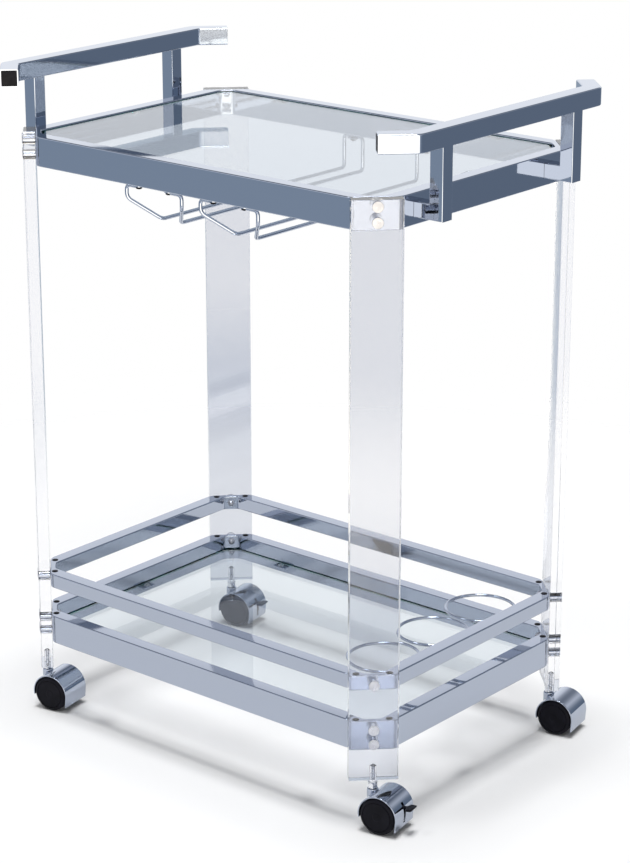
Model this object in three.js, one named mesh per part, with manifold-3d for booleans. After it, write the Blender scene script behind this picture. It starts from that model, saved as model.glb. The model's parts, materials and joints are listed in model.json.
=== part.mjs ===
// Bar cart on wheels: two glass shelves in chromed tube frames, held by four clear acrylic
// legs that are bolted across the cut-off corners. A gallery rail runs round the lower shelf.
// Units are millimetres and +Z is up. X runs along the long side and Y along the short side.
// The front is the -Y side. The origin is on the floor, under the middle of the cart.

import * as THREE from "three";
import { mergeVertices } from "three/addons/utils/BufferGeometryUtils.js";
import Module from "manifold-3d";

const wasm = await Module();
wasm.setup();

// ---------------------------------------------------------------- driving dimensions

const FRAME_LENGTH = 622; // both shelf frames and the gallery share one outline
const FRAME_DEPTH = 422;
const CORNER_CUT = 44; // how much of each side the cut-off corner takes
const INNER_CUT = 14; // the same on the inside of the tube
const RAIL_WIDTH = 20;
const TUBE_WALL = 1.5;
const BEND = 6; // length taken by the bend at each end of a rail

const LEG_BOTTOM = 66; // height of the legs above the floor, set by the casters
const LEG_TOP = 823.5;
const LEG_WIDTH = 64;
const LEG_THICKNESS = 16.5;

const TOP_FRAME = { bottom: 783.5, top: 823.5 };
const GALLERY = { bottom: 187, top: 207 };
const TRAY_FRAME = { bottom: 104, top: 144 };

const GLASS_THICKNESS = 5;
const GLASS_SIDE_GAP = 1.5; // between a pane's edge and the tube
const GLASS_CORNER_CUT = 17; // leaves room for the nuts of the leg bolts
const TOP_GLASS_DROP = 2; // how far the top pane lies below the frame's top
const TRAY_GLASS_DROP = 21;

const BOLT_PITCH = 19.5; // between the two bolts of a tall frame
const BOLT_RISE = 31.5; // upper bolt above the bottom of a tall frame
const BOLT_RADIUS = 3; // shank, through the frame
const BOLT_HOLE_RADIUS = 3.5;
const BARREL_RADIUS = 6.5; // barrel, through the leg
const BARREL_HOLE_RADIUS = 6.9;

const HANDLE_TUBE = 24; // square tube of the grip
const HANDLE_POST = 20; // square tube of the posts and of the arms to the frame
const HANDLE_TOP = 907.5;
const HANDLE_OUTER_X = 354; // outer face of the grip
const HANDLE_HALF_LENGTH = 186.4; // to the outer corner of the bend
const HANDLE_END_REACH = 36.4; // how far the turned-in end goes in X and in Y
const HANDLE_POST_Y = 135;
const HANDLE_ARM_BOTTOM = 793.5;

const RACK_X = 64; // each stemware rack's channel, left and right of the middle
const RACK_WIRE_RADIUS = 2.5;
const RACK_HALF_CHANNEL = 16.5;
const RACK_HALF_MOUTH = 48; // half the width of the flared mouth
const RACK_END_Y = 201; // under the middle of the front and rear rails
const RACK_MOUTH_Y = -169; // where the flare has reached the channel
const RACK_MOUTH_DROP = 20; // straight part of the drop below the frame
const RACK_DROP = 49.5; // the channel's depth below the frame
const RACK_EYE_X = 26; // screw eyes at the wire's ends, from the rack's middle
const RACK_BEND = 7;

const RING_RADIUS = 47.4; // wire centre line of each bottle ring
const RING_WIRE_RADIUS = 2.2;
const RING_X = 240;
const RING_PITCH = 105.4;
const RING_Z = 190;
const RING_BAR_HALF_LENGTH = 152;

const CASTER_YAW = 11; // degrees from +X in which the casters trail
const CASTER_TRAIL = 19; // swivel axis to axle
const WHEEL_RADIUS = 25;
const WHEEL_INNER_V = 8; // wheel's inner and outer faces, from the caster's middle
const WHEEL_OUTER_V = 26;
const HOOD_OUTER_RADIUS = 27.6;
const HOOD_INNER_RADIUS = 26;
const HOOD_HALF_WIDTH = 25;
const HOOD_BACK_BOTTOM = 9; // height of the hood's lower rear edge
const HOOD_FRONT_BOTTOM = 20;
const WEB_HALF_WIDTH = 6; // core between the wheels that holds the axle and the stem
const BOSS_RADIUS = 7.5;
const BOSS_TOP = 52;
const AXLE_RADIUS = 2.5;
const STEM_RADIUS = 4;
const STEM_TOP = 84;
const STEM_BOTTOM = 30;
const BRAKE_PIVOT = { u: 30, z: 36 }; // from the swivel axis, and above the floor

const GAP = 0.3; // between touching pieces
const RUNNING = 0.4; // between pieces that turn in one another
const PAST = 1; // how far a cutting tool runs past a face
const ROUND = 24; // facets of a large round piece
const SMALL_ROUND = 8; // facets of a small one
const WIRE_SIDES = 6;
const BEND_STEPS = 2; // facets of a bend
const SQRT2 = Math.SQRT2;
const SLANT = 2 - SQRT2; // how a 45 degree cut changes as an outline moves in by 1

const HALF_LENGTH = FRAME_LENGTH / 2;
const HALF_DEPTH = FRAME_DEPTH / 2;
const CORNER_X = HALF_LENGTH - CORNER_CUT / 2; // middle of a cut corner
const CORNER_Y = HALF_DEPTH - CORNER_CUT / 2;
// Thickness of the frame at a cut corner, from its outer to its inner face.
const CORNER_THICKNESS = RAIL_WIDTH * SQRT2 + (INNER_CUT - CORNER_CUT) / SQRT2;

const CORNERS = [
  { name: "front_left", x: -1, y: -1 },
  { name: "front_right", x: 1, y: -1 },
  { name: "rear_left", x: -1, y: 1 },
  { name: "rear_right", x: 1, y: 1 },
];
const BRAKED = ["front_right", "rear_left"];
const SIDES = [
  { name: "left", x: -1 },
  { name: "right", x: 1 },
];

// ---------------------------------------------------------------- materials

const chrome = new THREE.MeshStandardMaterial({ color: 0xb4bdcc, roughness: 0.08, metalness: 1 });
const nickel = new THREE.MeshStandardMaterial({ color: 0xd6d2cc, roughness: 0.35, metalness: 1 });
const steel = new THREE.MeshStandardMaterial({ color: 0x9aa0a8, roughness: 0.3, metalness: 1 });
const glass = new THREE.MeshStandardMaterial({
  color: 0xcfe0dd,
  roughness: 0.03,
  metalness: 0,
  transparent: true,
  opacity: 0.35,
});
const acrylic = new THREE.MeshStandardMaterial({
  color: 0xe2e6ee,
  roughness: 0.05,
  metalness: 0,
  transparent: true,
  opacity: 0.3,
});
const blackPlastic = new THREE.MeshStandardMaterial({
  color: 0x14161b,
  roughness: 0.35,
  metalness: 0,
});

// ---------------------------------------------------------------- solids

function solid(geometry) {
  const bare = geometry.clone();
  bare.deleteAttribute("normal");
  bare.deleteAttribute("uv");
  const merged = mergeVertices(bare, 1e-3);
  return new wasm.Manifold(
    new wasm.Mesh({
      numProp: 3,
      vertProperties: merged.attributes.position.array,
      triVerts: new Uint32Array(merged.index.array),
    }),
  );
}

function geometryOf(manifold) {
  const mesh = manifold.getMesh();
  const geometry = new THREE.BufferGeometry();
  geometry.setAttribute("position", new THREE.BufferAttribute(mesh.vertProperties, 3));
  geometry.setIndex(new THREE.BufferAttribute(mesh.triVerts, 1));
  geometry.computeVertexNormals();
  return geometry;
}

function join(pieces) {
  return pieces.reduce((whole, piece) => whole.add(piece));
}

function cut(body, tools) {
  return tools.reduce((left, tool) => left.subtract(tool), body);
}

function box(x0, x1, y0, y1, z0, z1) {
  const geometry = new THREE.BoxGeometry(x1 - x0, y1 - y0, z1 - z0);
  geometry.translate((x0 + x1) / 2, (y0 + y1) / 2, (z0 + z1) / 2);
  return solid(geometry);
}

function prismZ(shape, z0, z1) {
  const options = { depth: z1 - z0, bevelEnabled: false, curveSegments: BEND_STEPS };
  const geometry = new THREE.ExtrudeGeometry(shape, options);
  geometry.translate(0, 0, z0);
  return solid(geometry);
}

function rodZ(radius, z0, z1, x = 0, y = 0, facets = SMALL_ROUND) {
  const geometry = new THREE.CylinderGeometry(radius, radius, z1 - z0, facets);
  geometry.rotateX(Math.PI / 2);
  geometry.translate(x, y, (z0 + z1) / 2);
  return solid(geometry);
}

function rodX(radius, x0, x1, z, facets = SMALL_ROUND) {
  const geometry = new THREE.CylinderGeometry(radius, radius, x1 - x0, facets);
  geometry.rotateZ(Math.PI / 2);
  geometry.translate((x0 + x1) / 2, 0, z);
  return solid(geometry);
}

function rodY(radius, y0, y1, x, z, facets = SMALL_ROUND) {
  const geometry = new THREE.CylinderGeometry(radius, radius, y1 - y0, facets);
  geometry.translate(x, (y0 + y1) / 2, z);
  return solid(geometry);
}

function node(name, manifold, material) {
  const mesh = new THREE.Mesh(geometryOf(manifold), material);
  mesh.name = name;
  return mesh;
}

// ---------------------------------------------------------------- frames and panes

// A rectangle with its corners cut at 45 degrees and a short bend where each cut meets a side.
function cutCornerPath(PathClass, halfX, halfY, cornerCut, bend) {
  const corners = [
    [halfX - cornerCut, -halfY],
    [halfX, -halfY + cornerCut],
    [halfX, halfY - cornerCut],
    [halfX - cornerCut, halfY],
    [-halfX + cornerCut, halfY],
    [-halfX, halfY - cornerCut],
    [-halfX, -halfY + cornerCut],
    [-halfX + cornerCut, -halfY],
  ].map(([x, y]) => new THREE.Vector2(x, y));
  const path = new PathClass();
  corners.forEach((corner, i) => {
    const before = corners[(i + corners.length - 1) % corners.length];
    const after = corners[(i + 1) % corners.length];
    const start = corner.clone().add(before.clone().sub(corner).setLength(bend));
    const end = corner.clone().add(after.clone().sub(corner).setLength(bend));
    if (i === 0) path.moveTo(start.x, start.y);
    else path.lineTo(start.x, start.y);
    path.quadraticCurveTo(corner.x, corner.y, end.x, end.y);
  });
  path.closePath();
  return path;
}

// The ring between the frame's outer and inner outlines, with each moved into the metal by inset.
function railRing(inset) {
  const slant = inset * SLANT;
  const outline = cutCornerPath(
    THREE.Shape, HALF_LENGTH - inset, HALF_DEPTH - inset, CORNER_CUT - slant, BEND,
  );
  const innerX = HALF_LENGTH - RAIL_WIDTH + inset;
  const innerY = HALF_DEPTH - RAIL_WIDTH + inset;
  outline.holes.push(cutCornerPath(THREE.Path, innerX, innerY, INNER_CUT + slant, BEND / 2));
  return outline;
}

// A bore through the frame at each cut corner, at the heights given.
function cornerBores(heights) {
  return CORNERS.flatMap(({ x, y }) =>
    heights.map((z) => {
      const radius = BOLT_HOLE_RADIUS;
      const bore = new THREE.CylinderGeometry(radius, radius, 4 * RAIL_WIDTH, SMALL_ROUND);
      bore.rotateZ(Math.PI / 2);
      bore.rotateZ(Math.atan2(y, x));
      bore.translate(x * CORNER_X, y * CORNER_Y, z);
      return solid(bore);
    }),
  );
}

// Plating vents in the top face, two beside each cut corner.
function ventHoles(top) {
  const radius = 4;
  const shift = 2.5; // from the start of the cut towards its middle
  const inset = (RAIL_WIDTH + shift) / 2;
  const bottom = top - TUBE_WALL - PAST;
  const longX = HALF_LENGTH - CORNER_CUT + shift;
  const shortY = HALF_DEPTH - CORNER_CUT + shift;
  return CORNERS.flatMap(({ x, y }) => [
    rodZ(radius, bottom, top + PAST, x * longX, y * (HALF_DEPTH - inset)),
    rodZ(radius, bottom, top + PAST, x * (HALF_LENGTH - inset), y * shortY),
  ]);
}

// Ledges on the inside of a frame that carry a pane: two on each long side, one on each short side.
function glassLedges(top) {
  const halfTab = 11;
  const reach = 10;
  const thickness = 2;
  const longSpots = [-0.6, 0.6].map((part) => part * HALF_LENGTH);
  const innerX = HALF_LENGTH - RAIL_WIDTH;
  const innerY = HALF_DEPTH - RAIL_WIDTH;
  const bite = TUBE_WALL / 2; // the ledge's root lies in the tube's wall
  const span = (side, inner) => {
    const ends = [side * (inner - reach), side * (inner + bite)];
    return [Math.min(...ends), Math.max(...ends)];
  };
  return [-1, 1].flatMap((side) => [
    ...longSpots.map((x) => box(x - halfTab, x + halfTab, ...span(side, innerY), top - thickness, top)),
    box(...span(side, innerX), -halfTab, halfTab, top - thickness, top),
  ]);
}

function tubeFrame({ bottom, top }, heights, fittings) {
  const skin = prismZ(railRing(0), bottom, top);
  const hollow = prismZ(railRing(TUBE_WALL), bottom + TUBE_WALL, top - TUBE_WALL);
  const frame = cut(skin, [hollow, ...cornerBores(heights), ...(fittings.vents ?? [])]);
  return join([frame, ...(fittings.ledges ?? [])]);
}

function pane(top) {
  const halfX = HALF_LENGTH - RAIL_WIDTH - GLASS_SIDE_GAP;
  const halfY = HALF_DEPTH - RAIL_WIDTH - GLASS_SIDE_GAP;
  const outline = cutCornerPath(THREE.Shape, halfX, halfY, GLASS_CORNER_CUT, BEND / 3);
  return prismZ(outline, top - GLASS_THICKNESS, top);
}

// ---------------------------------------------------------------- legs and bolts

const BOLTS = [
  { name: "top_upper", z: TOP_FRAME.bottom + BOLT_RISE },
  { name: "top_lower", z: TOP_FRAME.bottom + BOLT_RISE - BOLT_PITCH },
  { name: "gallery", z: (GALLERY.bottom + GALLERY.top) / 2 },
  { name: "tray_upper", z: TRAY_FRAME.bottom + BOLT_RISE },
  { name: "tray_lower", z: TRAY_FRAME.bottom + BOLT_RISE - BOLT_PITCH },
];

function boltHeights(prefix) {
  return BOLTS.filter((bolt) => bolt.name.startsWith(prefix)).map((bolt) => bolt.z);
}

// In a corner's own frame +X points out of the cart and x = 0 is the frame's cut face.
const LEG_INNER = GAP;
const LEG_OUTER = GAP + LEG_THICKNESS;
const STEM_X = (LEG_INNER + LEG_OUTER) / 2;

function leg() {
  const blank = box(LEG_INNER, LEG_OUTER, -LEG_WIDTH / 2, LEG_WIDTH / 2, LEG_BOTTOM, LEG_TOP);
  const bores = BOLTS.map(({ z }) => rodX(BARREL_HOLE_RADIUS, LEG_INNER - PAST, LEG_OUTER + PAST, z));
  const stemBore = rodZ(STEM_RADIUS + GAP, LEG_BOTTOM - PAST, STEM_TOP + PAST, STEM_X);
  return cut(blank, [...bores, stemBore]);
}

// A barrel bolt: flat cap outside the leg, barrel in the leg, shank through the frame, nut inside.
function bolt() {
  const capRadius = 7.2;
  const capHeight = 1.2;
  const nutRadius = 4.4;
  const nutHeight = 3;
  const capBase = LEG_OUTER + GAP;
  const nutBase = -CORNER_THICKNESS - GAP;
  const profile = [
    [0, nutBase - nutHeight],
    [nutRadius, nutBase - nutHeight],
    [nutRadius, nutBase],
    [BOLT_RADIUS, nutBase],
    [BOLT_RADIUS, LEG_INNER],
    [BARREL_RADIUS, LEG_INNER],
    [BARREL_RADIUS, capBase],
    [capRadius, capBase],
    [capRadius, capBase + capHeight],
    [0, capBase + capHeight],
  ].map(([r, along]) => new THREE.Vector2(r, along));
  const geometry = new THREE.LatheGeometry(profile, SMALL_ROUND);
  geometry.rotateZ(-Math.PI / 2); // the lathe's axis turns onto +X
  return solid(geometry);
}

function corner({ name, x, y }) {
  const group = new THREE.Group();
  group.position.set(x * CORNER_X, y * CORNER_Y, 0);
  group.rotation.z = Math.atan2(y, x);
  group.add(node("leg_" + name, leg(), acrylic));
  for (const spot of BOLTS) {
    const fastener = node("bolt_" + name + "_" + spot.name, bolt(), nickel);
    fastener.position.z = spot.z;
    group.add(fastener);
  }
  return group;
}

// ---------------------------------------------------------------- handles

// Plan of the grip at the right-hand end of the cart. Its section is moved in by inset on each
// side, and its two open ends run past the tube's ends by past.
function gripPlan(inset, past) {
  const bendShift = Math.tan(Math.PI / 8); // a side moved in by 1 gets this much shorter at a bend
  const line = (depth) => {
    const bendX = HANDLE_OUTER_X - depth;
    const bendY = HANDLE_HALF_LENGTH - depth * bendShift;
    const endX = HANDLE_OUTER_X - HANDLE_END_REACH - depth / SQRT2 - past;
    const endY = HANDLE_HALF_LENGTH + HANDLE_END_REACH - depth / SQRT2 + past;
    return [[endX, -endY], [bendX, -bendY], [bendX, bendY], [endX, endY]];
  };
  const outline = [...line(inset), ...line(HANDLE_TUBE - inset).reverse()];
  return new THREE.Shape(outline.map(([x, y]) => new THREE.Vector2(x, y)));
}

// Grip, two posts and two arms as one welded tube, moved in by inset to give its hollow.
function handleForm(inset, past) {
  const gripBottom = HANDLE_TOP - HANDLE_TUBE;
  const grip = prismZ(gripPlan(inset, past), gripBottom + inset, HANDLE_TOP - inset);
  const postX0 = HANDLE_OUTER_X - HANDLE_POST + inset;
  const postX1 = HANDLE_OUTER_X - inset;
  const armX0 = HALF_LENGTH + GAP - past;
  const armBottom = HANDLE_ARM_BOTTOM + inset;
  const armTop = HANDLE_ARM_BOTTOM + HANDLE_POST - inset;
  const half = HANDLE_POST / 2 - inset;
  const uprights = [-HANDLE_POST_Y, HANDLE_POST_Y].flatMap((y) => [
    box(postX0, postX1, y - half, y + half, armBottom, gripBottom + 2 * TUBE_WALL),
    box(armX0, postX1, y - half, y + half, armBottom, armTop),
  ]);
  return join([grip, ...uprights]);
}

// A square insert that closes each end of the grip.
function endCap() {
  const half = HANDLE_TUBE / 2 - TUBE_WALL - GAP;
  const length = 8;
  return box(-length, 0, -half, half, -half, half);
}

function handle({ name, x }) {
  const group = new THREE.Group();
  if (x < 0) group.rotation.z = Math.PI;
  group.add(node("handle_" + name, handleForm(0, 0).subtract(handleForm(TUBE_WALL, PAST)), chrome));
  const middle = HANDLE_TUBE / 2 / SQRT2;
  for (const end of [-1, 1]) {
    const isRear = end * x > 0;
    const cap = node("end_cap_" + name + (isRear ? "_rear" : "_front"), endCap(), blackPlastic);
    const capX = HANDLE_OUTER_X - HANDLE_END_REACH - middle;
    const capY = end * (HANDLE_HALF_LENGTH + HANDLE_END_REACH - middle);
    cap.position.set(capX, capY, HANDLE_TOP - HANDLE_TUBE / 2);
    cap.rotation.z = Math.atan2(end, -1); // its outer face looks along the turned-in end
    group.add(cap);
  }
  return group;
}

// ---------------------------------------------------------------- wire goods

// A wire of straight runs and short bends. One step of the sweep goes from station to station.
class BentWire extends THREE.Curve {
  constructor(points, bend) {
    super();
    this.stations = [points[0]];
    for (let i = 1; i < points.length - 1; i++) {
      const start = points[i].clone().add(points[i - 1].clone().sub(points[i]).setLength(bend));
      const end = points[i].clone().add(points[i + 1].clone().sub(points[i]).setLength(bend));
      const arc = new THREE.QuadraticBezierCurve3(start, points[i], end);
      this.stations.push(...arc.getPoints(BEND_STEPS));
    }
    this.stations.push(points[points.length - 1]);
  }

  getPoint(t) {
    const place = t * (this.stations.length - 1);
    const i = Math.min(Math.floor(place), this.stations.length - 2);
    return this.stations[i].clone().lerp(this.stations[i + 1], place - i);
  }

  getPointAt(t) {
    return this.getPoint(t);
  }

  getTangentAt(t) {
    const i = Math.round(t * (this.stations.length - 1));
    const before = this.stations[Math.max(i - 1, 0)];
    const after = this.stations[Math.min(i + 1, this.stations.length - 1)];
    return after.clone().sub(before).normalize();
  }
}

function wire(points, radius, bend) {
  const path = new BentWire(points.map((p) => new THREE.Vector3(...p)), bend);
  const section = new THREE.Shape();
  section.absarc(0, 0, radius, 0, 2 * Math.PI);
  return solid(
    new THREE.ExtrudeGeometry(section, {
      steps: path.stations.length - 1,
      extrudePath: path,
      curveSegments: WIRE_SIDES,
    }),
  );
}

// One wire makes a whole stemware rack: flared mouth, channel, and a bridge under the rear rail.
function stemwareRack() {
  const topZ = TOP_FRAME.bottom - GAP - RACK_WIRE_RADIUS;
  const mouthZ = TOP_FRAME.bottom - RACK_MOUTH_DROP;
  const channelZ = TOP_FRAME.bottom - RACK_DROP;
  const half = [
    [RACK_EYE_X, -RACK_END_Y, topZ],
    [RACK_HALF_MOUTH, -RACK_END_Y, topZ],
    [RACK_HALF_MOUTH, -RACK_END_Y, mouthZ],
    [RACK_HALF_CHANNEL, RACK_MOUTH_Y, channelZ],
    [RACK_HALF_CHANNEL, RACK_END_Y, channelZ],
    [RACK_HALF_CHANNEL, RACK_END_Y, topZ],
  ];
  const mirrored = half.map(([x, y, z]) => [-x, y, z]).reverse();
  const eyeRadius = 6;
  const screwHole = 2.2;
  const eyes = [-RACK_EYE_X, RACK_EYE_X].map((x) =>
    rodZ(eyeRadius, topZ, topZ + RACK_WIRE_RADIUS, x, -RACK_END_Y),
  );
  const holes = [-RACK_EYE_X, RACK_EYE_X].map((x) =>
    rodZ(screwHole, topZ - PAST - RACK_WIRE_RADIUS, topZ + RACK_WIRE_RADIUS + PAST, x, -RACK_END_Y),
  );
  return cut(join([wire([...half, ...mirrored], RACK_WIRE_RADIUS, RACK_BEND), ...eyes]), holes);
}

// Three bottle rings on a straight bar, with two lugs against the inside of the gallery.
function bottleRings() {
  const profile = Array.from({ length: WIRE_SIDES + 1 }, (_, i) => {
    const turn = (2 * Math.PI * i) / WIRE_SIDES;
    return new THREE.Vector2(
      RING_RADIUS + RING_WIRE_RADIUS * Math.cos(turn),
      RING_WIRE_RADIUS * Math.sin(turn),
    );
  });
  const rings = [-1, 0, 1].map((place) => {
    const ring = new THREE.LatheGeometry(profile, ROUND);
    ring.rotateX(Math.PI / 2);
    ring.translate(RING_X, place * RING_PITCH, RING_Z);
    return solid(ring);
  });
  const barX = RING_X + RING_RADIUS;
  const barHalf = RING_BAR_HALF_LENGTH;
  const bar = rodY(RING_WIRE_RADIUS, -barHalf, barHalf, barX, RING_Z, WIRE_SIDES);
  const railX = HALF_LENGTH - RAIL_WIDTH - GAP;
  const lugHalf = 9;
  const lugThickness = 2;
  const lugTop = RING_Z + 12;
  const lugBottom = RING_Z - RING_WIRE_RADIUS;
  const lugY = RING_PITCH / 2;
  const lugs = [-lugY, lugY].map((y) =>
    box(railX - lugThickness, railX, y - lugHalf, y + lugHalf, lugBottom, lugTop),
  );
  return join([...rings, bar, ...lugs]);
}

// ---------------------------------------------------------------- casters

// In a caster's own frame the swivel axis is x = y = 0, it trails along +X, and z = 0 is the floor.
const AXLE_Z = WHEEL_RADIUS;

// Turns a shape drawn in the X-Z plane into a solid between two distances along Y.
function prismY(shape, y0, y1, curveSegments) {
  const options = { depth: y1 - y0, bevelEnabled: false, curveSegments };
  const geometry = new THREE.ExtrudeGeometry(shape, options);
  geometry.rotateX(Math.PI / 2);
  geometry.translate(0, y1, 0);
  return solid(geometry);
}

// Side view of the hood: round over the wheels, straight down at the back, open underneath.
function hoodSide(radius, backBottom, frontBottom) {
  const frontDrop = Math.asin((frontBottom - AXLE_Z) / radius);
  const side = new THREE.Shape();
  const frontX = CASTER_TRAIL - radius * Math.cos(frontDrop);
  side.moveTo(frontX, frontBottom);
  side.absarc(CASTER_TRAIL, AXLE_Z, radius, Math.PI - frontDrop, 0, true);
  side.lineTo(CASTER_TRAIL + radius - 2, backBottom);
  side.closePath();
  return side;
}

function hood(braked) {
  const shellSegments = 7;
  const outer = prismY(
    hoodSide(HOOD_OUTER_RADIUS, HOOD_BACK_BOTTOM, HOOD_FRONT_BOTTOM),
    -HOOD_HALF_WIDTH, HOOD_HALF_WIDTH, shellSegments,
  );
  const wheelRoom = prismY(
    hoodSide(HOOD_INNER_RADIUS, HOOD_BACK_BOTTOM - 4 * PAST, HOOD_FRONT_BOTTOM - 4 * PAST),
    -HOOD_HALF_WIDTH - PAST, HOOD_HALF_WIDTH + PAST, shellSegments,
  );
  const below = box(
    -HOOD_OUTER_RADIUS, CASTER_TRAIL + HOOD_INNER_RADIUS - 2,
    -HOOD_HALF_WIDTH - PAST, HOOD_HALF_WIDTH + PAST, -PAST, HOOD_FRONT_BOTTOM - PAST,
  );
  const shell = cut(outer, [wheelRoom, below]);
  const webBottom = 12;
  const web = prismY(
    hoodSide(HOOD_INNER_RADIUS + PAST / 2, webBottom, HOOD_FRONT_BOTTOM),
    -WEB_HALF_WIDTH, WEB_HALF_WIDTH, shellSegments,
  );
  const boss = rodZ(BOSS_RADIUS, STEM_BOTTOM - 4, BOSS_TOP, 0, 0, 12);
  const stemBore = rodZ(STEM_RADIUS + RUNNING, STEM_BOTTOM - RUNNING, BOSS_TOP + PAST);
  const boreHalf = WEB_HALF_WIDTH + PAST;
  const axleBore = rodY(AXLE_RADIUS + GAP, -boreHalf, boreHalf, CASTER_TRAIL, AXLE_Z);
  const cuts = [stemBore, axleBore];
  if (braked) cuts.push(...brakeRoom());
  return cut(join([shell, web, boss]), cuts);
}

// The slot that the brake lever swings in, and the bore for its trunnions.
function brakeRoom() {
  const slotHalf = 2.5;
  const slotBottom = 14;
  const slotTop = 41;
  const slotStart = 25;
  const slotEnd = CASTER_TRAIL + HOOD_OUTER_RADIUS + PAST;
  return [
    box(slotStart, slotEnd, -slotHalf, slotHalf, slotBottom, slotTop),
    rodY(1.5 + RUNNING, -WEB_HALF_WIDTH - PAST, WEB_HALF_WIDTH + PAST, BRAKE_PIVOT.u, BRAKE_PIVOT.z),
  ];
}

function brakeLever() {
  const armHalf = 2;
  const hubRadius = 3.6;
  const padHalf = 9;
  const padLength = 10;
  const padStart = CASTER_TRAIL + HOOD_OUTER_RADIUS + 2.5;
  const padTop = 37;
  const padThickness = 4;
  return join([
    rodY(hubRadius, -armHalf, armHalf, BRAKE_PIVOT.u, BRAKE_PIVOT.z),
    rodY(1.5, -WEB_HALF_WIDTH, WEB_HALF_WIDTH, BRAKE_PIVOT.u, BRAKE_PIVOT.z),
    box(BRAKE_PIVOT.u, padStart + PAST, -armHalf, armHalf, padTop - padThickness, padTop),
    box(padStart, padStart + padLength, -padHalf, padHalf, padTop - padThickness, padTop),
  ]);
}

// A wheel with a closed outer face and a blind bore for the axle. Its axis is Y.
function wheel(side) {
  const boreRadius = AXLE_RADIUS + GAP;
  const boreEnd = WHEEL_OUTER_V - 3;
  const tread = 1.5; // the rounding of the tread's edges
  const profile = [
    [boreRadius, WHEEL_INNER_V],
    [WHEEL_RADIUS - tread, WHEEL_INNER_V],
    [WHEEL_RADIUS, WHEEL_INNER_V + tread],
    [WHEEL_RADIUS, WHEEL_OUTER_V - 2 * tread],
    [WHEEL_RADIUS - 2 * tread, WHEEL_OUTER_V - tread / 2],
    [0, WHEEL_OUTER_V],
    [0, boreEnd],
    [boreRadius, boreEnd],
    [boreRadius, WHEEL_INNER_V],
  ].map(([r, along]) => new THREE.Vector2(r, along));
  const geometry = new THREE.LatheGeometry(profile, ROUND);
  if (side < 0) geometry.rotateX(Math.PI);
  geometry.translate(CASTER_TRAIL, 0, AXLE_Z);
  return solid(geometry);
}

// The stem: a threaded rod up into the leg, a collar between leg and caster, a plain end below.
function stem() {
  const collarRadius = 6.5;
  return join([
    rodZ(STEM_RADIUS, STEM_BOTTOM, STEM_TOP),
    rodZ(collarRadius, BOSS_TOP + RUNNING, LEG_BOTTOM - GAP, 0, 0, 6),
  ]);
}

function caster({ name, x, y }) {
  const prefix = "caster_" + name + "_";
  const braked = BRAKED.includes(name);
  const group = new THREE.Group();
  const outward = STEM_X / SQRT2;
  group.position.set(x * (CORNER_X + outward), y * (CORNER_Y + outward), 0);
  group.rotation.z = THREE.MathUtils.degToRad(CASTER_YAW);
  group.add(node(prefix + "stem", stem(), steel));
  group.add(node(prefix + "hood", hood(braked), chrome));
  const axleReach = WHEEL_OUTER_V - 4;
  const axle = rodY(AXLE_RADIUS, -axleReach, axleReach, CASTER_TRAIL, AXLE_Z);
  group.add(node(prefix + "axle", axle, steel));
  group.add(node(prefix + "wheel_front", wheel(-1), blackPlastic));
  group.add(node(prefix + "wheel_rear", wheel(1), blackPlastic));
  if (braked) group.add(node(prefix + "brake", brakeLever(), blackPlastic));
  return group;
}

// ---------------------------------------------------------------- the cart

const cart = new THREE.Group();

const topGlassTop = TOP_FRAME.top - TOP_GLASS_DROP;
const trayGlassTop = TRAY_FRAME.top - TRAY_GLASS_DROP;
const topFittings = { ledges: glassLedges(topGlassTop - GLASS_THICKNESS - GAP) };
const galleryFittings = { vents: ventHoles(GALLERY.top) };
const trayFittings = {
  vents: ventHoles(TRAY_FRAME.top),
  ledges: glassLedges(trayGlassTop - GLASS_THICKNESS - GAP),
};
cart.add(node("top_frame", tubeFrame(TOP_FRAME, boltHeights("top"), topFittings), chrome));
cart.add(node("top_glass", pane(topGlassTop), glass));
cart.add(node("gallery_rail", tubeFrame(GALLERY, boltHeights("gallery"), galleryFittings), chrome));
cart.add(node("tray_frame", tubeFrame(TRAY_FRAME, boltHeights("tray"), trayFittings), chrome));
cart.add(node("tray_glass", pane(trayGlassTop), glass));

for (const spot of CORNERS) cart.add(corner(spot), caster(spot));
for (const side of SIDES) {
  const rack = node("stemware_rack_" + side.name, stemwareRack(), chrome);
  rack.position.x = side.x * RACK_X;
  cart.add(rack, handle(side));
}
cart.add(node("bottle_rings", bottleRings(), chrome));

export default cart;
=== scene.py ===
"""Looks of the bar cart: fine meshes, materials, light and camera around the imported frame.

All lengths are in metres. A small dimension is written as a number times MM.
"""

import json
import math

import bmesh
import bpy
from mathutils import Matrix, Vector


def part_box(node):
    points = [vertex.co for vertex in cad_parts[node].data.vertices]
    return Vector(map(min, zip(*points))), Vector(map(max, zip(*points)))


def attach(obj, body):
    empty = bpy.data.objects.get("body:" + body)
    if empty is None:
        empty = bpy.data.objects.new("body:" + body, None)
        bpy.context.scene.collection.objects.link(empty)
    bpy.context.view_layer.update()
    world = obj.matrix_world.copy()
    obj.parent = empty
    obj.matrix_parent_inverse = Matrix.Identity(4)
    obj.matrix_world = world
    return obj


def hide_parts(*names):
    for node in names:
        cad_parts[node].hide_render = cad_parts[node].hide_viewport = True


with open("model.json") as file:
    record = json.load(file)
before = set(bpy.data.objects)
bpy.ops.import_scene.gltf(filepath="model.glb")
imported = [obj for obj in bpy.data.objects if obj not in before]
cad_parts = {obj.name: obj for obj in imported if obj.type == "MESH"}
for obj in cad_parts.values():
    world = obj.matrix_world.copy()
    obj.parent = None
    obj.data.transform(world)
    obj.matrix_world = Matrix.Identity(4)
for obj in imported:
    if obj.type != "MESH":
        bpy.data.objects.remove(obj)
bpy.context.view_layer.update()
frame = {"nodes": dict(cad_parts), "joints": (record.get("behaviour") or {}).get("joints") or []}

MM = 0.001

# ---------------------------------------------------------------- shared dimensions

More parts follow.
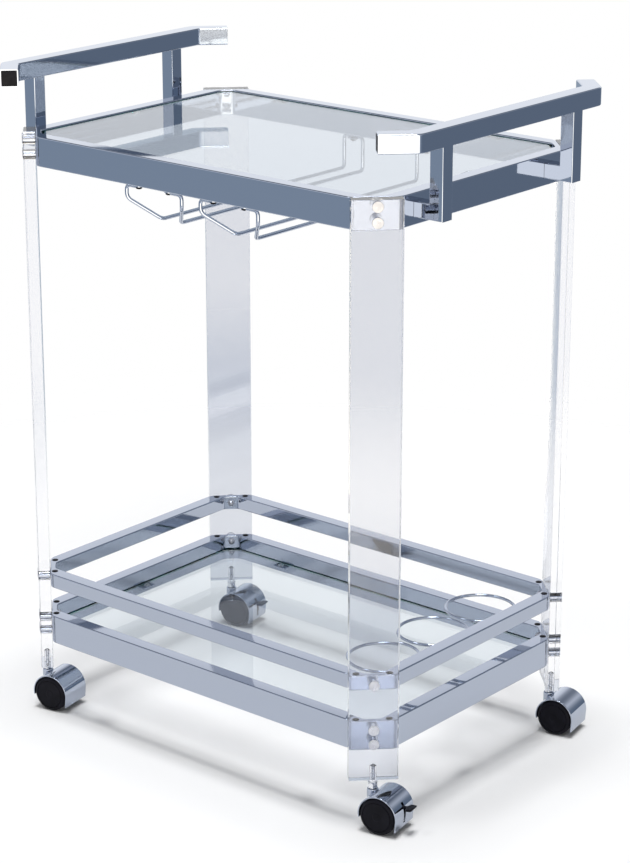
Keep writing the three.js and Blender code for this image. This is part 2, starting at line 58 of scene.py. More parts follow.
RAIL = 20 * MM  # width of the frame tube
CORNER_CUT = 44 * MM  # how much of each side the cut-off corner takes
INNER_CUT = 14 * MM
OUTER_BEND = 7 * MM
INNER_BEND = 4 * MM
TUBE_FILLET = 1.6 * MM
GAP = 0.3 * MM

top_low, top_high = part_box("top_frame")
HALF_X, HALF_Y = top_high.x, top_high.y
CORNER_X = HALF_X - CORNER_CUT / 2
CORNER_Y = HALF_Y - CORNER_CUT / 2
CORNER_METAL = RAIL * math.sqrt(2) + (INNER_CUT - CORNER_CUT) / math.sqrt(2)
LEG_THICKNESS = 16.5 * MM
LEG_WIDTH = 64 * MM

CORNERS = {
    "front_left": (-1, -1),
    "front_right": (1, -1),
    "rear_left": (-1, 1),
    "rear_right": (1, 1),
}
SIDES = {"left": -1, "right": 1}
CLEAR_SLOTS = ("glass", "acrylic")
JOINTS = {joint["name"]: joint for joint in frame["joints"]}


# ---------------------------------------------------------------- materials


def material(name, color, roughness, **sockets):
    """A new material with those constants on its shader. Returns it with its node tree."""
    made = bpy.data.materials.new(name)
    made.use_nodes = True
    shader = made.node_tree.nodes["Principled BSDF"]
    shader.inputs["Base Color"].default_value = (*color, 1)
    shader.inputs["Roughness"].default_value = roughness
    for socket, value in sockets.items():
        shader.inputs[socket.replace("_", " ")].default_value = value
    return made


def noise(made, scale, detail=3.0, stretch=(1, 1, 1)):
    """The output of a noise texture that is fixed to the piece."""
    nodes, links = made.node_tree.nodes, made.node_tree.links
    place = nodes.new("ShaderNodeTexCoord")
    mapping = nodes.new("ShaderNodeMapping")
    mapping.inputs["Scale"].default_value = stretch
    texture = nodes.new("ShaderNodeTexNoise")
    texture.inputs["Scale"].default_value = scale
    texture.inputs["Detail"].default_value = detail
    links.new(place.outputs["Object"], mapping.inputs["Vector"])
    links.new(mapping.outputs["Vector"], texture.inputs["Vector"])
    return texture.outputs["Fac"]


def vary(made, socket, source, low, high):
    """Drives a shader socket with a noise, between two values."""
    nodes, links = made.node_tree.nodes, made.node_tree.links
    span = nodes.new("ShaderNodeMapRange")
    span.inputs["From Min"].default_value = 0.3
    span.inputs["From Max"].default_value = 0.7
    span.inputs["To Min"].default_value = low
    span.inputs["To Max"].default_value = high
    links.new(source, span.inputs["Value"])
    links.new(span.outputs["Result"], nodes["Principled BSDF"].inputs[socket])


def vary_color(made, source, low, high):
    """Drives the base colour with a noise, between two colours."""
    nodes, links = made.node_tree.nodes, made.node_tree.links
    ramp = nodes.new("ShaderNodeValToRGB")
    ramp.color_ramp.elements[0].position = 0.35
    ramp.color_ramp.elements[0].color = (*low, 1)
    ramp.color_ramp.elements[1].position = 0.65
    ramp.color_ramp.elements[1].color = (*high, 1)
    links.new(source, ramp.inputs["Fac"])
    links.new(ramp.outputs["Color"], nodes["Principled BSDF"].inputs["Base Color"])


def bump(made, *layers):
    """Stacks bumps on a material. Each layer is a height output, a strength and a distance."""
    nodes, links = made.node_tree.nodes, made.node_tree.links
    normal = None
    for height, strength, distance in layers:
        node = nodes.new("ShaderNodeBump")
        node.inputs["Strength"].default_value = strength
        node.inputs["Distance"].default_value = distance
        links.new(height, node.inputs["Height"])
        if normal is not None:
            links.new(normal, node.inputs["Normal"])
        normal = node.outputs["Normal"]
    links.new(normal, nodes["Principled BSDF"].inputs["Normal"])


def make_chrome():
    made = material("chrome", (0.40, 0.44, 0.525), 0.05, Metallic=1.0)
    vary(made, "Roughness", noise(made, 9, 4), 0.03, 0.08)
    waves = noise(made, 11, 1)
    polish = noise(made, 900, 2)
    bump(made, (waves, 0.05, 0.3 * MM), (polish, 0.03, 0.02 * MM))
    return made


def make_nickel():
    made = material("satin_nickel", (0.35, 0.36, 0.40), 0.32, Metallic=1.0, Anisotropic=0.3)
    vary_color(made, noise(made, 160, 3), (0.31, 0.32, 0.36), (0.39, 0.40, 0.44))
    vary(made, "Roughness", noise(made, 300, 3), 0.24, 0.40)
    bump(made, (noise(made, 2500, 2), 0.15, 0.02 * MM))
    return made


def make_zinc():
    made = material("bright_zinc", (0.80, 0.82, 0.86), 0.25, Metallic=1.0)
    vary(made, "Roughness", noise(made, 220, 3), 0.18, 0.34)
    vary_color(made, noise(made, 90, 3), (0.74, 0.76, 0.80), (0.86, 0.87, 0.90))
    bump(made, (noise(made, 1200, 2), 0.12, 0.02 * MM))
    return made


def make_pane_glass():
    made = material("float_glass", (0.76, 0.81, 0.84), 0.0, Transmission_Weight=1.0, IOR=1.45)
    vary(made, "Roughness", noise(made, 5, 4), 0.0, 0.012)
    bump(made, (noise(made, 7, 1), 0.02, 0.1 * MM))
    return made


def make_glass_edge():
    made = material("glass_edge", (0.03, 0.13, 0.12), 0.08, Transmission_Weight=0.35, IOR=1.52)
    vary_color(made, noise(made, 40, 2), (0.015, 0.075, 0.07), (0.05, 0.20, 0.18))
    bump(made, (noise(made, 500, 2), 0.1, 0.05 * MM))
    return made


def make_acrylic(name, tint):
    """Clear cast acrylic with faint upright hairlines. The faces look greyer than the edges."""
    made = material(name, tint, 0.0, Transmission_Weight=1.0, IOR=1.49)
    vary(made, "Roughness", noise(made, 8, 4), 0.0, 0.02)
    hairlines = noise(made, 500, 2, stretch=(1, 1, 0.05))
    bump(made, (hairlines, 0.01, 0.01 * MM))
    return made


def make_black_plastic():
    made = material("black_nylon", (0.004, 0.004, 0.008), 0.4, Specular_IOR_Level=0.1)
    vary_color(made, noise(made, 70, 4), (0.003, 0.003, 0.006), (0.007, 0.007, 0.012))
    vary(made, "Roughness", noise(made, 120, 4), 0.34, 0.48)
    bump(made, (noise(made, 1800, 2), 0.2, 0.03 * MM))
    return made


def make_clear_pad():
    made = material("clear_pad", (0.72, 0.76, 0.80), 0.25, Transmission_Weight=0.75, IOR=1.41)
    vary(made, "Roughness", noise(made, 400, 3), 0.18, 0.36)
    bump(made, (noise(made, 900, 2), 0.15, 0.05 * MM))
    return made


CHROME = make_chrome()
NICKEL = make_nickel()
ZINC = make_zinc()
PANE = make_pane_glass()
PANE_EDGE = make_glass_edge()
ACRYLIC = make_acrylic("clear_acrylic", (0.72, 0.74, 0.79))
ACRYLIC_EDGE = make_acrylic("polished_acrylic_edge", (0.98, 0.98, 0.99))
BLACK = make_black_plastic()
PAD = make_clear_pad()


# ---------------------------------------------------------------- mesh building


def loft(loops, ring=False):
    """Vertices and faces of a skin over loops of equal length, closed at its ends or on itself."""
    size = len(loops[0])
    verts = [point for loop in loops for point in loop]
    faces = []
    for j in range(len(loops) if ring else len(loops) - 1):
        this, following = j * size, (j + 1) % len(loops) * size
        for i in range(size):
            k = (i + 1) % size
            faces.append((this + i, this + k, following + k, following + i))
    if not ring:
        faces.append(tuple(reversed(range(size))))
        faces.append(tuple(range(len(verts) - size, len(verts))))
    return verts, faces


def mesh_object(name, parts, finish, place=Matrix.Identity(4), smooth=40):
    """One object from lofted parts, put in place, with outward normals and crisp edges."""
    shape = bmesh.new()
    for verts, faces in parts:
        made = [shape.verts.new(place @ Vector(point)) for point in verts]
        for face in faces:
            shape.faces.new([made[i] for i in face])
    bmesh.ops.recalc_face_normals(shape, faces=shape.faces)
    data = bpy.data.meshes.new(name)
    shape.to_mesh(data)
    shape.free()
    obj = bpy.data.objects.new(name, data)
    bpy.context.scene.collection.objects.link(obj)
    data.materials.append(finish)
    shade(obj, smooth)
    return obj


def shade(obj, smooth=40):
    obj.data.polygons.foreach_set("use_smooth", [True] * len(obj.data.polygons))
    obj.data.set_sharp_from_angle(angle=math.radians(smooth))


def apply_modifiers(obj):
    graph = bpy.context.evaluated_depsgraph_get()
    result = bpy.data.meshes.new_from_object(obj.evaluated_get(graph))
    obj.modifiers.clear()
    obj.data = result


def recolor(obj, finish, chosen):
    """Gives the faces that chosen picks a second material."""
    obj.data.materials.append(finish)
    for face in obj.data.polygons:
        if chosen(face):
            face.material_index = len(obj.data.materials) - 1


def combine(obj, others, operation, smooth=40):
    """Joins or cuts obj with the others, exactly, and removes them."""
    for other in others:
        step = obj.modifiers.new("step", "BOOLEAN")
        step.operation = operation
        step.solver = "EXACT"
        step.object = other
    apply_modifiers(obj)
    for other in others:
        bpy.data.objects.remove(other)
    shade(obj, smooth)
    return obj


def settle(obj, body, slot, *nodes):
    """The piece rides on a body and stands for those CAD nodes. A piece of a clear slot lets light through to
    the floor.
    """
    if slot in CLEAR_SLOTS:
        obj.visible_shadow = False  # light reaches the floor through a clear piece
        obj.visible_diffuse = False
    flat = obj.modifiers.new("flat", "WEIGHTED_NORMAL")  # large faces stay flat beside a fillet
    flat.weight = 100
    flat.keep_sharp = True
    apply_modifiers(obj)
    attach(obj, body)
    if nodes:
        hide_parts(*nodes)
    return obj


def rounded_rect(width, height, radius, steps=4):
    """A rectangle from (0, 0) to (width, height) with round corners."""
    points = []
    centres = [
        (width - radius, height - radius, 0),
        (radius, height - radius, 90),
        (radius, radius, 180),
        (width - radius, radius, 270),
    ]
    for x, y, start in centres:
        for step in range(steps + 1):
            turn = math.radians(start + 90 * step / steps)
            points.append((x + radius * math.cos(turn), y + radius * math.sin(turn)))
    return points


def centred_rect(width, height, radius, steps=4):
    """The same rectangle with its middle at (0, 0)."""
    return [(x - width / 2, y - height / 2) for x, y in rounded_rect(width, height, radius, steps)]


def bent(points, bend, steps=6, closed=False):
    """A path through the points with each inner corner rounded over a length bend on each side."""
    points = [Vector(p) for p in points]
    path = [] if closed else [points[0]]
    corners = range(len(points)) if closed else range(1, len(points) - 1)
    for i in corners:
        corner = points[i]
        start = corner + (points[i - 1] - corner).normalized() * bend
        end = corner + (points[(i + 1) % len(points)] - corner).normalized() * bend
        for step in range(steps + 1):
            t = step / steps
            path.append(start * (1 - t) ** 2 + corner * 2 * t * (1 - t) + end * t**2)
    if not closed:
        path.append(points[-1])
    return path


def cut_corner_outline(half_x, half_y, cut, bend):
    """A rectangle with its corners cut at 45 degrees, each cut running into the side in a bend."""
    corners = [
        (half_x - cut, -half_y, 0),
        (half_x, -half_y + cut, 0),
        (half_x, half_y - cut, 0),
        (half_x - cut, half_y, 0),
        (-half_x + cut, half_y, 0),
        (-half_x, half_y - cut, 0),
        (-half_x, -half_y + cut, 0),
        (-half_x + cut, -half_y, 0),
    ]
    return bent(corners, bend, steps=6, closed=True)


def tube(path, radius, sides=14, ring=False):
    """A round wire along a path, carried without twist."""
    loops = []
    side = None
    count = len(path)
    for i, point in enumerate(path):
        before = path[i - 1] if i or ring else point
        after = path[(i + 1) % count] if i < count - 1 or ring else point
        ahead = (after - before).normalized()
        if side is None:
            side = ahead.orthogonal().normalized()
        side = (side - ahead * side.dot(ahead)).normalized()
        across = ahead.cross(side)
        loops.append([
            point + (side * math.cos(a) + across * math.sin(a)) * radius
            for a in (math.tau * k / sides for k in range(sides))
        ])
    return loft(loops, ring)


def block(low, high, fillet, corner=None):
    """A box with rounded upright edges and eased top and bottom edges."""
    low, high = Vector(low), Vector(high)
    size = high - low
    middle = (low + high) / 2
    corner = corner or fillet
    loops = []
    for inset, z in (
        (fillet, low.z),
        (fillet * 0.3, low.z + fillet * 0.3),
        (0, low.z + fillet),
        (0, high.z - fillet),
        (fillet * 0.3, high.z - fillet * 0.3),
        (fillet, high.z),
    ):
        radius = max(corner - inset, 0.2 * fillet)
        outline = centred_rect(size.x - 2 * inset, size.y - 2 * inset, radius)
        loops.append([Vector((middle.x + x, middle.y + y, z)) for x, y in outline])
    return loft(loops)


def turned(profile, axis="X", sides=36, centre=(0, 0, 0)):
    """A turned part. Each profile entry is (along, radius) or (along, radius, flats)."""
    loops = []
    for along, radius, *flats in profile:
        loop = []
        for k in range(sides):
            angle = math.tau * k / sides
            reach = radius
            if flats:
                part = math.tau / flats[0]
                reach = radius * math.cos(part / 2) / math.cos(angle % part - part / 2)
            a, b = reach * math.cos(angle), reach * math.sin(angle)
            spot = {"X": (along, a, b), "Y": (b, along, a), "Z": (a, b, along)}[axis]
            loop.append(Vector(spot) + Vector(centre))
        loops.append(loop)
    return loft(loops)


def stub(half, radius, axis, sides, centre, chamfer=0.3 * MM):
    """A short round bar that reaches half its length to each side of its centre, with eased ends."""
    ease = 0.3 * MM
    end = radius - chamfer
    profile = [(-half, end), (-half + ease, radius), (half - ease, radius), (half, end)]
    return turned(profile, axis, sides, centre)


def circle(centre, radius, count):
    """Points of a level circle."""
    turns = (math.tau * k / count for k in range(count))
    return [Vector(centre) + Vector((math.cos(a), math.sin(a), 0)) * radius for a in turns]


def dome(start, radius, height, steps=5):
    """Profile entries of a dome that closes towards start + height."""
    entries = []
    for step in range(1, steps + 1):
        turn = math.radians(88 * step / steps)
        entries.append((start + height * math.sin(turn), radius * math.cos(turn)))
    return entries


# ---------------------------------------------------------------- frames and panes


def tube_ring(node):
    """A frame: square tube bent round the outline and welded to itself."""
    low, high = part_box(node)
    loops = []
    for inset, rise in rounded_rect(RAIL, high.z - low.z, TUBE_FILLET):
        share = inset / RAIL
        cut = CORNER_CUT + (INNER_CUT - CORNER_CUT) * share
        bend = OUTER_BEND + (INNER_BEND - OUTER_BEND) * share
        outline = cut_corner_outline(HALF_X - inset, HALF_Y - inset, cut, bend)
        loops.append([Vector((p.x, p.y, low.z + rise)) for p in outline])
    ring = mesh_object(node + "_tube", [loft(loops, ring=True)], CHROME)
    return settle(ring, "root", "chrome", node)


def vent_plugs(node):
    """Black plugs in the top face of a frame, two beside each cut corner."""
    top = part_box(node)[1].z
    radius, height = 4.4 * MM, 0.9 * MM
    profile = [(top - 1.5 * MM, radius), (top + 0.2 * MM, radius)]
    profile += dome(top + 0.2 * MM, radius, height - 0.2 * MM)
    shift = 2.5 * MM
    along_x, along_y = HALF_X - CORNER_CUT + shift, HALF_Y - CORNER_CUT + shift
    spots = []
    for x, y in CORNERS.values():
        spots.append((x * along_x, y * (HALF_Y - RAIL / 2 - shift / 2), 0))
        spots.append((x * (HALF_X - RAIL / 2 - shift / 2), y * along_y, 0))
    plugs = [turned(profile, "Z", 24, spot) for spot in spots]
    return settle(mesh_object(node + "_plugs", plugs, BLACK), "root", "black_plastic")


def pane(node):
    """A shelf pane with eased edges, which look dark green."""
    low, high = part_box(node)
    ease = 0.7 * MM
    corner_cut = 17 * MM
    loops = []
    for inset, z in ((ease, low.z), (0, low.z + ease), (0, high.z - ease), (ease, high.z)):
        outline = cut_corner_outline(high.x - inset, high.y - inset, corner_cut, 3 * MM)
        loops.append([Vector((p.x, p.y, z)) for p in outline])
    obj = mesh_object(node + "_pane", [loft(loops)], PANE, smooth=20)
    recolor(obj, PANE_EDGE, lambda face: abs(face.normal.z) < 0.95)
    return settle(obj, "root", "glass", node)


def pane_rests(name, node):
    """The tabs under a pane, each with a clear round pad between tab and glass."""
    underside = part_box(node)[0].z
    half_tab, reach, weld, pad_reach = 11 * MM, 12 * MM, 0.5 * MM, 6 * MM
    tab_top = underside - 1.2 * MM
    tab_bottom = tab_top - 1.8 * MM
    inner_x, inner_y = HALF_X - RAIL, HALF_Y - RAIL
    tabs, pads = [], []
    for side in (-1, 1):
        for x in (-0.6 * HALF_X, 0.6 * HALF_X):
            a, b = sorted((side * (inner_y + weld), side * (inner_y - reach)))
            tabs.append(block((x - half_tab, a, tab_bottom), (x + half_tab, b, tab_top), 0.5 * MM, 2 * MM))
            pads.append((x, side * (inner_y - pad_reach), 0))
        a, b = sorted((side * (inner_x + weld), side * (inner_x - reach)))
        tabs.append(block((a, -half_tab, tab_bottom), (b, half_tab, tab_top), 0.5 * MM, 2 * MM))
        pads.append((side * (inner_x - pad_reach), 0, 0))
    profile = [(tab_top, 4.6 * MM), (tab_top + 0.3 * MM, 5 * MM), (underside - 0.05 * MM, 4.4 * MM)]
    discs = [turned(profile, "Z", 28, spot) for spot in pads]
    settle(mesh_object(name + "_tabs", tabs, CHROME), "root", "chrome")
    settle(mesh_object(name + "_pads", discs, PAD), "root", "glass")


# ---------------------------------------------------------------- legs and bolts


def corner_place(x, y):
    """The place of a cut corner: its X axis points out of the cart, and its x = 0 is the frame's face."""
    turn = Matrix.Rotation(math.atan2(y, x), 4, "Z")
    return Matrix.Translation((x * CORNER_X, y * CORNER_Y, 0)) @ turn


def bolt_heights(corner):
    """Height of each bolt of a corner, by its node's name."""
    prefix = "bolt_" + corner + "_"
    found = {}
    for node in frame["nodes"]:
        if node.startswith(prefix):
            low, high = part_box(node)
            found[node] = (low.z + high.z) / 2
    return found


def leg(corner, place):
    """A clear plate with its bolt holes and the blind hole of the caster's stem."""
    node = "leg_" + corner
    low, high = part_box(node)
    body = block((GAP, -LEG_WIDTH / 2, low.z), (GAP + LEG_THICKNESS, LEG_WIDTH / 2, high.z), 0.9 * MM)
    obj = mesh_object(node + "_plate", [body], ACRYLIC, place, smooth=30)
    bolt_bore, stem_bore, past = 6.9 * MM, 4.4 * MM, 2 * MM
    cutters = []
    for height in bolt_heights(corner).values():
        drill = turned([(-past, bolt_bore), (LEG_THICKNESS + past, bolt_bore)], "X", 40, (0, 0, height))
        cutters.append(mesh_object("drill", [drill], ACRYLIC, place))
    stem_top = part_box("caster_" + corner + "_stem")[1].z
    spot = (GAP + LEG_THICKNESS / 2, 0, 0)
    blind = [(low.z - past, stem_bore), (stem_top + 0.6 * MM, stem_bore), (stem_top + 3 * MM, 0.4 * MM)]
    cutters.append(mesh_object("drill", [turned(blind, "Z", 40, spot)], ACRYLIC, place))
    combine(obj, cutters, "DIFFERENCE", smooth=30)
    outward = place.to_3x3() @ Vector((1, 0, 0))
    recolor(obj, ACRYLIC_EDGE, lambda face: abs(face.normal.dot(outward)) < 0.9)
    return settle(obj, "root", "acrylic", node)


def bolt(node, height, place):
    """Acorn nut inside the frame, shank through it, chromed barrel through the leg, flat cap outside."""
    nut, shank, barrel, cap = 5.2 * MM, 3.2 * MM, 6.5 * MM, 7.2 * MM  # radii
    inside = -CORNER_METAL - 0.1 * MM
    nut_end = inside - 2.9 * MM
    face = GAP + LEG_THICKNESS
    ease = 0.5 * MM
    barrel_start = (0.5 * MM, barrel)
    profile = dome(nut_end, 3.9 * MM, -3.2 * MM)[::-1]
    profile += [
        (nut_end, 4.0 * MM),
        (nut_end + 0.05 * MM, nut - ease, 6),
        (nut_end + ease, nut, 6),
        (inside, nut, 6),
        (inside + 0.05 * MM, shank),
        (0.1 * MM, shank),
        (0.15 * MM, barrel - 0.2 * MM),
        barrel_start,
        (face + 0.1 * MM, barrel),
        (face + 0.15 * MM, cap - 0.2 * MM),
        (face + 0.35 * MM, cap),
        (face + 0.9 * MM, cap),
        (face + 1.2 * MM, cap - 0.15 * MM),
        (face + 1.45 * MM, cap - 0.6 * MM),
    ]
    sides = 36
    solid = turned(profile, "X", sides, (0, 0, height))
    obj = mesh_object(node + "_turned", [solid], NICKEL, place, smooth=32)
    recolor(obj, CHROME, lambda face: face.index // sides == profile.index(barrel_start))
    return settle(obj, "root", "nickel", node)


# ---------------------------------------------------------------- handles

GRIP = 24 * MM
POST = 20 * MM
GRIP_REACH = 36.4 * MM  # how far the turned-in end goes in X and in Y
POST_Y = 135 * MM


def grip_path(depth, shorten, bend):
    """The line of the grip at a depth from its outer face, shortened at its ends."""
    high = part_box("handle_right")[1]
    outer_x = high.x
    half_length = high.y - GRIP_REACH
    shift = math.tan(math.pi / 8) * depth
    slip = shorten / math.sqrt(2)
    end_x = outer_x - GRIP_REACH - depth / math.sqrt(2) + slip
    end_y = half_length + GRIP_REACH - depth / math.sqrt(2) - slip
    bend_x, bend_y = outer_x - depth, half_length - shift
    corners = [(end_x, -end_y, 0), (bend_x, -bend_y, 0), (bend_x, bend_y, 0), (end_x, end_y, 0)]
    return bent(corners, bend, steps=5)


def grip_loops(inset, shorten, top):
    """Sections of the grip from end to end, for an outline moved in by inset."""
    side = GRIP - 2 * inset
    section = rounded_rect(side, side, max(1.8 * MM - inset, 0.5 * MM))
    lines = []
    for depth, rise in section:
        share = depth / GRIP
        path = grip_path(depth + inset, shorten, (6 - 3 * share) * MM)
        lines.append([Vector((p.x, p.y, top - GRIP + inset + rise)) for p in path])
    return [[line[j] for line in lines] for j in range(len(lines[0]))]


def upright(y, grip_bottom):
    """A post with its arm to the frame, mitred at the foot."""
    low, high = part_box("handle_right")
    post_x = high.x - POST / 2
    arm_z = low.z + POST / 2
    loops = [[], [], []]
    for out, across in centred_rect(POST, POST, 1.5 * MM):
        loops[0].append(Vector((HALF_X + GAP, y + across, arm_z - out)))
        loops[1].append(Vector((post_x + out, y + across, arm_z - out)))
        loops[2].append(Vector((post_x + out, y + across, grip_bottom + 1.2 * MM)))
    return loft(loops)


def handle(side, sign):
    """A grip, open at its ends, welded to its two posts."""
    node = "handle_" + side
    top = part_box(node)[1].z
    place = Matrix.Rotation(math.pi, 4, "Z") if sign < 0 else Matrix.Identity(4)
    wall, recess = 1.5 * MM, 9 * MM
    outside = grip_loops(0, 0, top)
    inside = grip_loops(wall, 0, top)
    deep = grip_loops(wall, recess, top)
    loops = [deep[0], inside[0], *outside, inside[-1], deep[-1]]
    grip = mesh_object(node + "_welded", [loft(loops)], CHROME, place)
    uprights = [mesh_object("upright", [upright(y, top - GRIP)], CHROME, place) for y in (-POST_Y, POST_Y)]
    combine(grip, uprights, "UNION")
    settle(grip, "root", "chrome", node)


def end_cap(node):
    """A black insert in the open end of a grip, with a slightly raised face."""
    low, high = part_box(node)
    middle = (low + high) / 2
    half = (high.z - low.z) / 2
    length = 8 * MM
    way = Vector((-math.copysign(1, middle.x), math.copysign(1, middle.y), 0)).normalized()
    turn = Matrix.Rotation(math.atan2(way.y, way.x), 4, "Z")
    start = Matrix.Translation(middle - way * length / 2) @ turn
    loops = []
    for along, inset in ((0, 0.5), (0.6, 0), (7.6, 0), (8.1, 0.35), (8.3, 1.2), (8.5, 4.5)):
        size = 2 * (half - inset * MM)
        outline = centred_rect(size, size, max(1.2 - inset, 0.4) * MM)
        loops.append([Vector((along * MM, y, z)) for y, z in outline])
    obj = mesh_object(node + "_insert", [loft(loops)], BLACK, start, smooth=30)
    settle(obj, "root", "black_plastic", node)


# ---------------------------------------------------------------- wire goods


def screw_head(centre, axis_down=True, radius=4.2 * MM):
    """A pan head with its face down, or towards -X."""
    height, side = 3.4 * MM, 1.6 * MM
    profile = [(0, radius * 0.9), (-0.3 * MM, radius), (-side, radius)]
    profile += [(-side - a, r) for a, r in dome(0, radius, height - side)]
    return turned(profile, "Z" if axis_down else "X", 24, centre)


def stemware_rack(side):
    """One bent wire that hangs under the top frame, flared at its mouth, with its screws."""
    node = "stemware_rack_" + side
    low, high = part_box(node)
    middle = (low.x + high.x) / 2
    radius = 2.5 * MM
    top_z = top_low.z - GAP - radius
    channel_z = low.z + radius
    half_mouth = (high.x - low.x) / 2 - radius
    rear_y = high.y - radius
    front_y = -rear_y
    half_channel, eye, reach = 16.5 * MM, 26 * MM, 32 * MM
    mouth_z = top_low.z - 20 * MM
    half = [
        (eye, front_y, top_z),
        (half_mouth, front_y, top_z),
        (half_mouth, front_y, mouth_z),
        (half_channel, front_y + reach, channel_z),
        (half_channel, rear_y, channel_z),
        (half_channel, rear_y, top_z),
    ]
    points = half + [(-x, y, z) for x, y, z in reversed(half)]
    place = Matrix.Translation((middle, 0, 0))
    parts = [tube(bent(points, 7 * MM), radius, 16)]
    screws = []
    eye_half, eye_radius = 1.1 * MM, 5.8 * MM
    for x in (-eye, eye):
        eye_z = top_low.z - GAP - eye_half
        parts.append(stub(eye_half, eye_radius, "Z", 28, (x, front_y, eye_z), chamfer=0.6 * MM))
        screws.append(screw_head((x, front_y, eye_z - eye_half)))
    saddle = Vector((8 * MM, 5 * MM, 0))
    saddle_bottom = Vector((0, rear_y, top_z - radius - 1.0 * MM))
    saddle_top = Vector((0, rear_y, top_z - radius + 0.4 * MM))
    parts.append(block(saddle_bottom - saddle, saddle_top + saddle, 0.4 * MM, 2 * MM))
    screws.append(screw_head(saddle_bottom))
    settle(mesh_object(node + "_wire", parts, CHROME, place), "root", "chrome", node)
    settle(mesh_object(node + "_screws", screws, BLACK, place), "root", "black_plastic")


def bottle_rings():
    """Three wire rings on a bar along the gallery's right side, with two screwed lugs."""
    low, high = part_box("bottle_rings")
    wire = 2.1 * MM
    ring_x, ring_z = 240 * MM, 190 * MM
    ring_radius, pitch = 47.4 * MM, 105.4 * MM
    parts = []
    for place in (-1, 0, 1):
        path = circle((ring_x, place * pitch, ring_z), ring_radius, 72)
        parts.append(tube(path, wire, 14, ring=True))
    bar_x = ring_x + ring_radius
    rod = [Vector((bar_x, y, ring_z)) for y in (low.y + 2 * MM, high.y - 2 * MM)]
    parts.append(tube(rod, wire, 14))
    rail_x = HALF_X - RAIL - GAP
    lug_half, lug_thickness = 9 * MM, 2 * MM
    screws = []
    for y in (-pitch / 2, pitch / 2):
        lug_low = (rail_x - lug_thickness, y - lug_half, ring_z - wire)
        parts.append(block(lug_low, (rail_x, y + lug_half, high.z), 0.5 * MM))
        screw = (rail_x - lug_thickness, y, ring_z + 7 * MM)
        screws.append(screw_head(screw, axis_down=False, radius=3 * MM))
    settle(mesh_object("bottle_rings_wire", parts, CHROME), "root", "chrome", "bottle_rings")
    settle(mesh_object("bottle_rings_screws", screws, BLACK), "root", "black_plastic")


# ---------------------------------------------------------------- casters
# In a caster's own frame the swivel axis is the Z axis, it trails along +X, and z = 0 is the floor.

BRAKE_PIVOT = Vector((30 * MM, 0, 36 * MM))
HOOD_RADIUS = 27.6 * MM
HOOD_WALL = 1.6 * MM
HOOD_HALF_WIDTH = 25 * MM
WEB_HALF_WIDTH = 6 * MM


class Caster:
    """Places of one caster, read from its joints."""

    def __init__(self, corner):
        swivel = JOINTS[corner + "_swivel"]
        spin = JOINTS["wheel_" + corner + "_front_spin"]
        self.corner = corner
        self.prefix = "caster_" + corner + "_"
        self.body = swivel["child"]
        pivot, axle = Vector(swivel["pos_m"]), Vector(spin["pos_m"])
        trail = axle - pivot
        trail.z = 0
        self.trail = trail.length
        self.axle_z = axle.z
        turn = Matrix.Rotation(math.atan2(trail.y, trail.x), 4, "Z")
        self.place = Matrix.Translation((pivot.x, pivot.y, 0)) @ turn
        self.braked = self.prefix + "brake" in frame["nodes"]


def hood_stations(caster):
    """Points of the hood's inner side with outward directions, from its front edge to its rear one."""
    front_bottom, rear_bottom = 20 * MM, 9 * MM
    inner = HOOD_RADIUS - HOOD_WALL
    drop = math.asin((caster.axle_z - front_bottom) / inner)
    steps = 26
    stations = []
    for step in range(steps + 1):
        turn = math.pi + drop - (math.pi + drop) * step / steps
        out = Vector((math.cos(turn), 0, math.sin(turn)))
        stations.append((Vector((caster.trail, 0, caster.axle_z)) + out * inner, out))
    for share in (0.5, 1.0):
        z = caster.axle_z + (rear_bottom - caster.axle_z) * share
        x = caster.trail + inner - 1.2 * MM * share
        stations.append((Vector((x, 0, z)), Vector((1, 0, 0.06))))
    return stations


